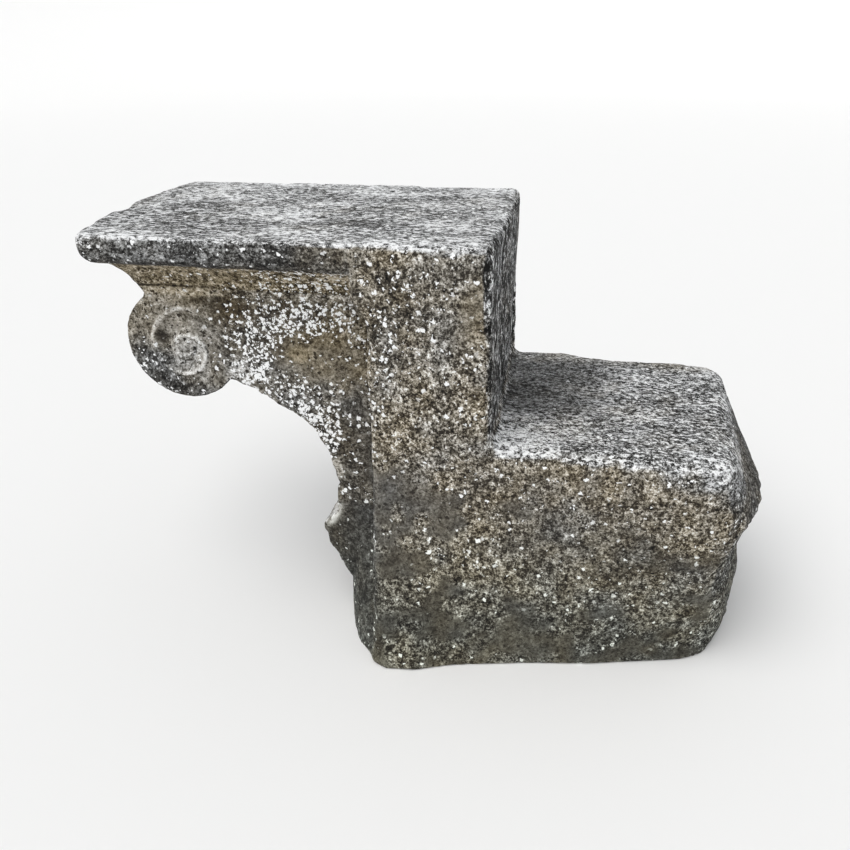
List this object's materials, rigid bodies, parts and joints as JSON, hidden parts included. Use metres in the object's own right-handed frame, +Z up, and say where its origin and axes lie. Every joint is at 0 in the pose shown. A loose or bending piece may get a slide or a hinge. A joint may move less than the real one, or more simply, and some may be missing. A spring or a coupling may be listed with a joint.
{
  "type": "corbel",
  "caption": "Weathered stone corbel: a tall block with a low tail to build into a wall, and a moulded slab over a scrolled console in front.",
  "frame": {"origin": "on the flat underside, below the wall line (the block's front) at mid-width", "axes": "+X from the nose to the tail, +Z up, and the pictured side faces -Y"},
  "size_m": [1.0629, 0.5095, 0.69],
  "materials": {
    "stone": "weathered limestone, matt, with grey crust and white lichen"
  },
  "bodies": {
    "root": {"corbel_stone": "stone"}
  },
  "joints": []
}
